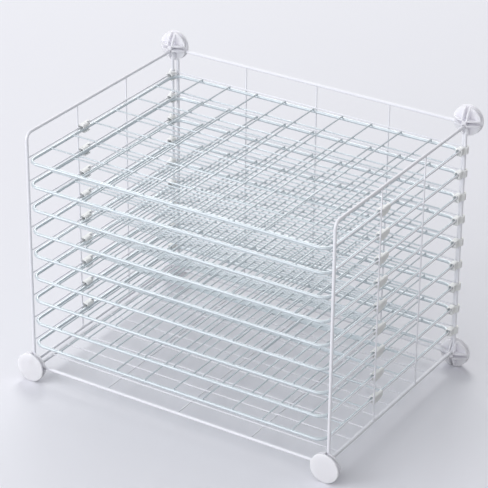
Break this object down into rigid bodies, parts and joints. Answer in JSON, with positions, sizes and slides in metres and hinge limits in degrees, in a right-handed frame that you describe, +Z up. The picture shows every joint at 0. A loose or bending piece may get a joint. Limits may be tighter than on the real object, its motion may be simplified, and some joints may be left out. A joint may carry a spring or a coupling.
{
  "type": "art drying rack",
  "caption": "Tabletop wire rack for drying artwork: an open-fronted cube of wire panels joined by corner connectors, with wire trays that slide out on clips.",
  "frame": {"origin": "on the surface the rack stands on, under the middle of its bounding box", "axes": "+Z up, +Y towards the back panel, so that the trays slide out along -Y, +X to the right seen from the open front"},
  "size_m": [0.521, 0.3724, 0.404],
  "materials": {
    "panel_wire": "white powder coat, semi-gloss",
    "tray_wire": "white powder coat, semi-gloss",
    "connector": "white moulded plastic",
    "clip": "off-white moulded plastic, slightly translucent"
  },
  "bodies": {
    "rack": {"left_panel_rim": "panel_wire", "left_panel_level_wires": "panel_wire", "left_panel_uprights": "panel_wire", "right_panel_rim": "panel_wire", "right_panel_level_wires": "panel_wire", "right_panel_uprights": "panel_wire", "back_panel_rim": "panel_wire", "back_panel_long_wires": "panel_wire", "back_panel_cross_wires": "panel_wire", "bottom_panel_rim": "panel_wire", "bottom_panel_long_wires": "panel_wire", "bottom_panel_cross_wires": "panel_wire", "connector_top_back_left": "connector", "connector_top_back_right": "connector", "connector_bottom_back_left": "connector", "connector_bottom_back_right": "connector", "connector_bottom_front_left": "connector", "connector_bottom_front_right": "connector", "clips_level_1": "clip", "clips_level_2": "clip", "clips_level_3": "clip", "clips_level_4": "clip", "clips_level_5": "clip", "clips_level_6": "clip", "clips_level_7": "clip", "clips_level_8": "clip", "clips_level_9": "clip"},
    "tray_1": {"tray_1_rim": "tray_wire", "tray_1_long_wires": "tray_wire", "tray_1_cross_wires": "tray_wire"},
    "tray_2": {"tray_2_rim": "tray_wire", "tray_2_long_wires": "tray_wire", "tray_2_cross_wires": "tray_wire"},
    "tray_3": {"tray_3_rim": "tray_wire", "tray_3_long_wires": "tray_wire", "tray_3_cross_wires": "tray_wire"},
    "tray_4": {"tray_4_rim": "tray_wire", "tray_4_long_wires": "tray_wire", "tray_4_cross_wires": "tray_wire"},
    "tray_5": {"tray_5_rim": "tray_wire", "tray_5_long_wires": "tray_wire", "tray_5_cross_wires": "tray_wire"},
    "tray_6": {"tray_6_rim": "tray_wire", "tray_6_long_wires": "tray_wire", "tray_6_cross_wires": "tray_wire"},
    "tray_7": {"tray_7_rim": "tray_wire", "tray_7_long_wires": "tray_wire", "tray_7_cross_wires": "tray_wire"},
    "tray_8": {"tray_8_rim": "tray_wire", "tray_8_long_wires": "tray_wire", "tray_8_cross_wires": "tray_wire"},
    "tray_9": {"tray_9_rim": "tray_wire", "tray_9_long_wires": "tray_wire", "tray_9_cross_wires": "tray_wire"}
  },
  "joints": [
    {"name": "tray_1_slide", "type": "slide", "parent": "rack", "child": "tray_1", "axis": [0, -1, 0], "range_m": [0, 0.37]},
    {"name": "tray_2_slide", "type": "slide", "parent": "rack", "child": "tray_2", "axis": [0, -1, 0], "range_m": [0, 0.37]},
    {"name": "tray_3_slide", "type": "slide", "parent": "rack", "child": "tray_3", "axis": [0, -1, 0], "range_m": [0, 0.37]},
    {"name": "tray_4_slide", "type": "slide", "parent": "rack", "child": "tray_4", "axis": [0, -1, 0], "range_m": [0, 0.37]},
    {"name": "tray_5_slide", "type": "slide", "parent": "rack", "child": "tray_5", "axis": [0, -1, 0], "range_m": [0, 0.37]},
    {"name": "tray_6_slide", "type": "slide", "parent": "rack", "child": "tray_6", "axis": [0, -1, 0], "range_m": [0, 0.37]},
    {"name": "tray_7_slide", "type": "slide", "parent": "rack", "child": "tray_7", "axis": [0, -1, 0], "range_m": [0, 0.37]},
    {"name": "tray_8_slide", "type": "slide", "parent": "rack", "child": "tray_8", "axis": [0, -1, 0], "range_m": [0, 0.37]},
    {"name": "tray_9_slide", "type": "slide", "parent": "rack", "child": "tray_9", "axis": [0, -1, 0], "range_m": [0, 0.37]}
  ]
}
